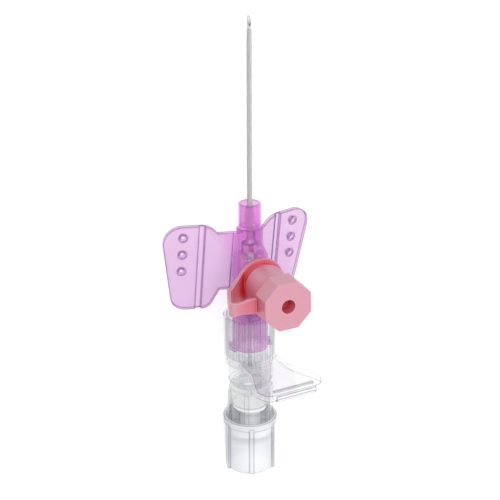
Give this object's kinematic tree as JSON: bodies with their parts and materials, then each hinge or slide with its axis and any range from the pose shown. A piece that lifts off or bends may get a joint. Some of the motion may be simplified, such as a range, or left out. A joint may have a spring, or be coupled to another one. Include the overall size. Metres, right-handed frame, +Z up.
{
  "type": "intravenous cannula",
  "caption": "Winged over-the-needle vein cannula with an injection port and flip cap, safety clip, clear needle hub with grip plate, flashback chamber and Luer-lock stopper.",
  "frame": {"origin": "centre of the overall box on the surface that the cannula lies on", "axes": "+Y along the cannula towards the needle point, +Z up, +X across the wings"},
  "size_m": [0.0302, 0.0912, 0.027],
  "materials": {
    "catheter": "semi-matt fluoropolymer",
    "steel": "drawn and ground",
    "hub_plastic": "violet translucent gloss",
    "silicone": "soft silicone",
    "port_cap": "pink satin gloss",
    "clear_plastic": "clear gloss",
    "filter": "porous",
    "stopper": "white translucent gloss"
  },
  "bodies": {
    "catheter": {"catheter_tube": "catheter", "catheter_wedge": "steel", "catheter_hub": "hub_plastic", "port_valve_sleeve": "silicone", "port_cap_base": "port_cap"},
    "lid": {"port_cap_lid": "port_cap"},
    "clip": {"safety_clip": "steel"},
    "needle_unit": {"needle": "steel", "needle_hub": "clear_plastic", "flash_chamber": "clear_plastic", "vent_filter": "filter"},
    "stopper": {"stopper_cap": "stopper"}
  },
  "joints": [
    {"name": "port_cap_flip", "type": "hinge", "parent": "catheter", "child": "lid", "pos_m": [-0.0048, -0.00545, 0.0233], "axis": [0.0349, -0.9937, -0.1066], "range_deg": [0, 90]},
    {"name": "clip_slide", "type": "slide", "parent": "catheter", "child": "clip", "axis": [0, -0.9943, -0.1067], "range_m": [0, 0.017]},
    {"name": "needle_slide", "type": "slide", "parent": "clip", "child": "needle_unit", "axis": [0, -0.9943, -0.1067], "range_m": [0, 0.0545]},
    {"name": "stopper_pull", "type": "slide", "parent": "needle_unit", "child": "stopper", "axis": [0, -0.9943, -0.1067], "range_m": [0, 0.01]}
  ]
}
